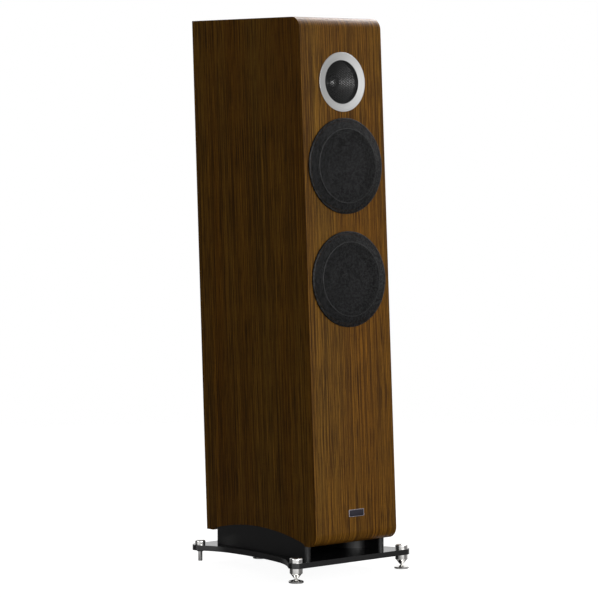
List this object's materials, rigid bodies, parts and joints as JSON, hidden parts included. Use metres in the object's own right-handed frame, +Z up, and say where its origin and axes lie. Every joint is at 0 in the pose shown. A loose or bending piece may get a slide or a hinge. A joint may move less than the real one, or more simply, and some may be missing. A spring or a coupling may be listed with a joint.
{
  "type": "floorstanding speaker",
  "caption": "Tall wooden loudspeaker cabinet that leans back on a hollow-sided plinth with spiked feet, with a coaxial driver above round woofer grilles.",
  "frame": {"origin": "on the floor, at the middle of the bounding box", "axes": "+Z up, the front faces -Y, +X to the right seen from the front"},
  "size_m": [0.3398, 0.4314, 1.215],
  "materials": {
    "veneer": "open-pore straight-grain walnut veneer, satin lacquer",
    "carcass": "bare fibreboard",
    "black_lacquer": "satin black lacquered fibreboard",
    "base_steel": "satin black powder coat",
    "chrome": "polished",
    "zinc_steel": "black oxide",
    "grille_metal": "fine perforated sheet, satin black",
    "ring_metal": "bead-blasted, clear anodised",
    "mesh_metal": "perforated sheet, satin black",
    "driver_metal": "bare spun cone and dome",
    "woofer_cone": "woven composite, matt",
    "surround_rubber": "matt",
    "spider_cloth": "resin-treated cloth",
    "cast_basket": "cast, black paint",
    "magnet_iron": "ferrite and zinc-plated plates",
    "badge_metal": "dark anodised with a bright frame",
    "terminal_plastic": "black anodised",
    "gold_brass": "gold plated",
    "cap_metal": "rhodium-look plating, knurled",
    "board_laminate": "glass-epoxy board",
    "coil_copper": "enamelled wire",
    "capacitor_film": "wrapped film",
    "cable_sheath": "braided sleeve",
    "felt": "pressed wool felt"
  },
  "bodies": {
    "cabinet": {"side_panel_left": "veneer", "side_panel_right": "veneer", "front_baffle": "veneer", "rear_panel": "veneer", "top_panel": "veneer", "bottom_panel": "black_lacquer", "mid_chamber_divider": "carcass", "window_braces": "carcass", "damping_felt": "felt", "port_duct": "black_lacquer", "port_wall_left": "black_lacquer", "port_wall_right": "black_lacquer", "base_plate": "base_steel", "base_fasteners": "zinc_steel", "coax_trim_ring": "ring_metal", "coax_mesh": "mesh_metal", "mid_surround": "surround_rubber", "coax_chassis": "cast_basket", "badge": "badge_metal", "terminal_plate": "terminal_plastic", "terminal_posts": "gold_brass", "jumper_links": "gold_brass", "mounting_screws": "zinc_steel", "crossover_board": "board_laminate", "crossover_coils": "coil_copper", "crossover_capacitors": "capacitor_film", "internal_cables": "cable_sheath", "upper_woofer_basket": "cast_basket", "upper_woofer_surround": "surround_rubber", "upper_woofer_spider": "spider_cloth", "upper_woofer_motor": "magnet_iron", "lower_woofer_basket": "cast_basket", "lower_woofer_surround": "surround_rubber", "lower_woofer_spider": "spider_cloth", "lower_woofer_motor": "magnet_iron"},
    "upper_woofer_cone": {"upper_woofer_cone": "woofer_cone"},
    "lower_woofer_cone": {"lower_woofer_cone": "woofer_cone"},
    "mid_cone": {"mid_cone": "driver_metal"},
    "tweeter_dome": {"tweeter_dome": "driver_metal"},
    "upper_grille": {"upper_grille": "grille_metal"},
    "lower_grille": {"lower_grille": "grille_metal"},
    "front_left_spike_cup": {"front_left_spike_cup": "chrome"},
    "front_left_spike": {"front_left_spike": "chrome"},
    "front_left_lock_knob": {"front_left_lock_knob": "chrome"},
    "front_right_spike_cup": {"front_right_spike_cup": "chrome"},
    "front_right_spike": {"front_right_spike": "chrome"},
    "front_right_lock_knob": {"front_right_lock_knob": "chrome"},
    "rear_spike_cup": {"rear_spike_cup": "chrome"},
    "rear_spike": {"rear_spike": "chrome"},
    "rear_lock_knob": {"rear_lock_knob": "chrome"},
    "left_stabiliser_bolt": {"left_stabiliser_bolt": "chrome"},
    "right_stabiliser_bolt": {"right_stabiliser_bolt": "chrome"},
    "upper_left_post_washer": {"upper_left_post_washer": "gold_brass"},
    "upper_left_post_cap": {"upper_left_post_cap": "cap_metal"},
    "upper_right_post_washer": {"upper_right_post_washer": "gold_brass"},
    "upper_right_post_cap": {"upper_right_post_cap": "cap_metal"},
    "lower_left_post_washer": {"lower_left_post_washer": "gold_brass"},
    "lower_left_post_cap": {"lower_left_post_cap": "cap_metal"},
    "lower_right_post_washer": {"lower_right_post_washer": "gold_brass"},
    "lower_right_post_cap": {"lower_right_post_cap": "cap_metal"}
  },
  "joints": [
    {"name": "upper_woofer_stroke", "type": "slide", "parent": "cabinet", "child": "upper_woofer_cone", "axis": [0, -0.9987, 0.0513], "range_m": [-0.005, 0.005], "stiffness_N_per_m": 1500, "deforming": ["upper_woofer_surround", "upper_woofer_spider"]},
    {"name": "lower_woofer_stroke", "type": "slide", "parent": "cabinet", "child": "lower_woofer_cone", "axis": [0, -0.9987, 0.0513], "range_m": [-0.005, 0.005], "stiffness_N_per_m": 1500, "deforming": ["lower_woofer_surround", "lower_woofer_spider"]},
    {"name": "mid_stroke", "type": "slide", "parent": "cabinet", "child": "mid_cone", "axis": [0, -0.9987, 0.0513], "range_m": [-0.001, 0.001], "stiffness_N_per_m": 2000, "deforming": ["mid_surround"]},
    {"name": "tweeter_stroke", "type": "slide", "parent": "cabinet", "child": "tweeter_dome", "axis": [0, -0.9987, 0.0513], "range_m": [-0.0003, 0.0003], "stiffness_N_per_m": 800},
    {"name": "upper_grille_release", "type": "slide", "parent": "cabinet", "child": "upper_grille", "axis": [0, -0.9987, 0.0513], "range_m": [0, 0.06]},
    {"name": "lower_grille_release", "type": "slide", "parent": "cabinet", "child": "lower_grille", "axis": [0, -0.9987, 0.0513], "range_m": [0, 0.06]},
    {"name": "front_left_foot_height", "type": "slide", "parent": "cabinet", "child": "front_left_spike_cup", "axis": [0, 0, 1], "range_m": [-0.006, 0]},
    {"name": "front_left_spike_turn", "type": "hinge", "parent": "front_left_spike_cup", "child": "front_left_spike", "pos_m": [-0.1524, -0.1923, 0.026], "axis": [0, 0, 1], "range_deg": [-1450, 0]},
    {"name": "front_left_lock_knob_turn", "type": "hinge", "parent": "cabinet", "child": "front_left_lock_knob", "pos_m": [-0.1524, -0.1923, 0.049], "axis": [0, 0, 1], "range_deg": [0, 180]},
    {"name": "front_right_foot_height", "type": "slide", "parent": "cabinet", "child": "front_right_spike_cup", "axis": [0, 0, 1], "range_m": [-0.006, 0]},
    {"name": "front_right_spike_turn", "type": "hinge", "parent": "front_right_spike_cup", "child": "front_right_spike", "pos_m": [0.1524, -0.1923, 0.026], "axis": [0, 0, 1], "range_deg": [-1450, 0]},
    {"name": "front_right_lock_knob_turn", "type": "hinge", "parent": "cabinet", "child": "front_right_lock_knob", "pos_m": [0.1524, -0.1923, 0.049], "axis": [0, 0, 1], "range_deg": [0, 180]},
    {"name": "rear_foot_height", "type": "slide", "parent": "cabinet", "child": "rear_spike_cup", "axis": [0, 0, 1], "range_m": [-0.006, 0]},
    {"name": "rear_spike_turn", "type": "hinge", "parent": "rear_spike_cup", "child": "rear_spike", "pos_m": [0, 0.118, 0.026], "axis": [0, 0, 1], "range_deg": [-1450, 0]},
    {"name": "rear_lock_knob_turn", "type": "hinge", "parent": "cabinet", "child": "rear_lock_knob", "pos_m": [0, 0.118, 0.049], "axis": [0, 0, 1], "range_deg": [0, 180]},
    {"name": "left_stabiliser_height", "type": "slide", "parent": "cabinet", "child": "left_stabiliser_bolt", "axis": [0, 0, 1], "range_m": [0, 0.012]},
    {"name": "right_stabiliser_height", "type": "slide", "parent": "cabinet", "child": "right_stabiliser_bolt", "axis": [0, 0, 1], "range_m": [0, 0.012]},
    {"name": "upper_left_post_clamp", "type": "slide", "parent": "cabinet", "child": "upper_left_post_washer", "axis": [0, 0.999, -0.0444], "range_m": [0, 0.005]},
    {"name": "upper_left_post_turn", "type": "hinge", "parent": "upper_left_post_washer", "child": "upper_left_post_cap", "pos_m": [-0.028, 0.19041, 0.21914], "axis": [0, 0.999, -0.0444], "range_deg": [0, 1450]},
    {"name": "upper_right_post_clamp", "type": "slide", "parent": "cabinet", "child": "upper_right_post_washer", "axis": [0, 0.999, -0.0444], "range_m": [0, 0.005]},
    {"name": "upper_right_post_turn", "type": "hinge", "parent": "upper_right_post_washer", "child": "upper_right_post_cap", "pos_m": [0.028, 0.19041, 0.21914], "axis": [0, 0.999, -0.0444], "range_deg": [0, 1450]},
    {"name": "lower_left_post_clamp", "type": "slide", "parent": "cabinet", "child": "lower_left_post_washer", "axis": [0, 0.999, -0.0444], "range_m": [0, 0.005]},
    {"name": "lower_left_post_turn", "type": "hinge", "parent": "lower_left_post_washer", "child": "lower_left_post_cap", "pos_m": [-0.028, 0.18864, 0.17918], "axis": [0, 0.999, -0.0444], "range_deg": [0, 1450]},
    {"name": "lower_right_post_clamp", "type": "slide", "parent": "cabinet", "child": "lower_right_post_washer", "axis": [0, 0.999, -0.0444], "range_m": [0, 0.005]},
    {"name": "lower_right_post_turn", "type": "hinge", "parent": "lower_right_post_washer", "child": "lower_right_post_cap", "pos_m": [0.028, 0.18864, 0.17918], "axis": [0, 0.999, -0.0444], "range_deg": [0, 1450]}
  ],
  "couplings": [
    {"joint": "front_left_spike_turn", "follows": "front_left_foot_height", "rad_per_m": 4188.8},
    {"joint": "front_right_spike_turn", "follows": "front_right_foot_height", "rad_per_m": 4188.8},
    {"joint": "rear_spike_turn", "follows": "rear_foot_height", "rad_per_m": 4188.8},
    {"joint": "upper_left_post_turn", "follows": "upper_left_post_clamp", "rad_per_m": 5026.5},
    {"joint": "upper_right_post_turn", "follows": "upper_right_post_clamp", "rad_per_m": 5026.5},
    {"joint": "lower_left_post_turn", "follows": "lower_left_post_clamp", "rad_per_m": 5026.5},
    {"joint": "lower_right_post_turn", "follows": "lower_right_post_clamp", "rad_per_m": 5026.5}
  ]
}
